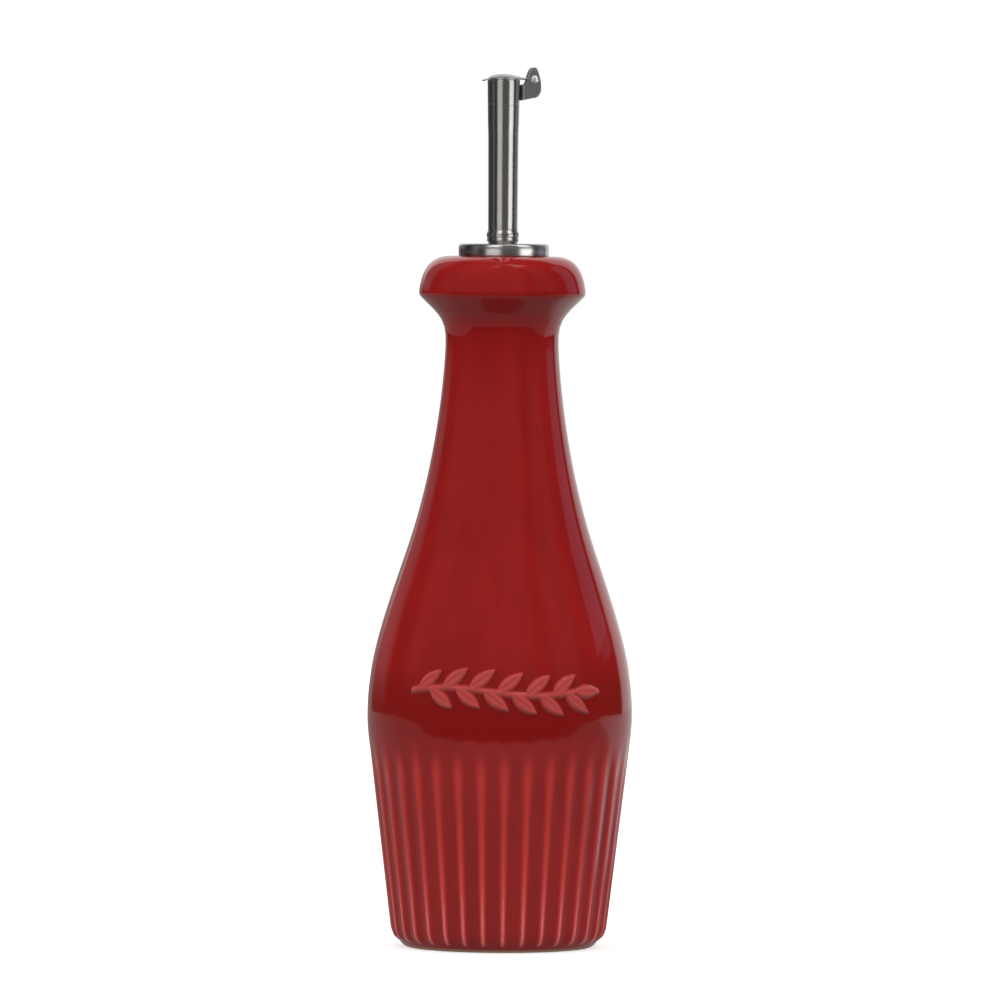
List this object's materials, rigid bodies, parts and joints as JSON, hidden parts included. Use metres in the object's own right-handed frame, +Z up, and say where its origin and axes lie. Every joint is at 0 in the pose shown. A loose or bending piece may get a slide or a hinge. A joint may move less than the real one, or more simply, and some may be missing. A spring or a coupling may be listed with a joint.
{
  "type": "vinegar cruet",
  "caption": "Slim stoneware table bottle with a fluted base, flared rim and raised leaf sprig, closed by a steel pouring tube with a hinged flap.",
  "frame": {"origin": "middle of the foot ring, on the surface that the cruet stands on", "axes": "+Z up along the bottle's axis; -Y is the front, which carries the raised sprig; the pourer's hinge lies towards +X, turned 11 degrees towards +Y"},
  "size_m": [0.0708, 0.0712, 0.2371],
  "materials": {
    "glaze": "deep red glossy glaze, thinner and pinker on raised edges, bare stoneware on the foot ring",
    "stopper_rubber": "matt dark rubber",
    "polished_steel": "polished stainless steel"
  },
  "bodies": {
    "cruet": {"bottle": "glaze", "stopper": "stopper_rubber", "collar": "polished_steel", "spout": "polished_steel", "hinge_bracket": "polished_steel", "hinge_pin": "polished_steel"},
    "flap": {"flap": "polished_steel"}
  },
  "joints": [
    {"name": "flap_hinge", "type": "hinge", "parent": "cruet", "child": "flap", "pos_m": [0.0079, 0.00154, 0.23365], "axis": [-0.1908, 0.9816, 0], "range_deg": [0, 100]}
  ]
}
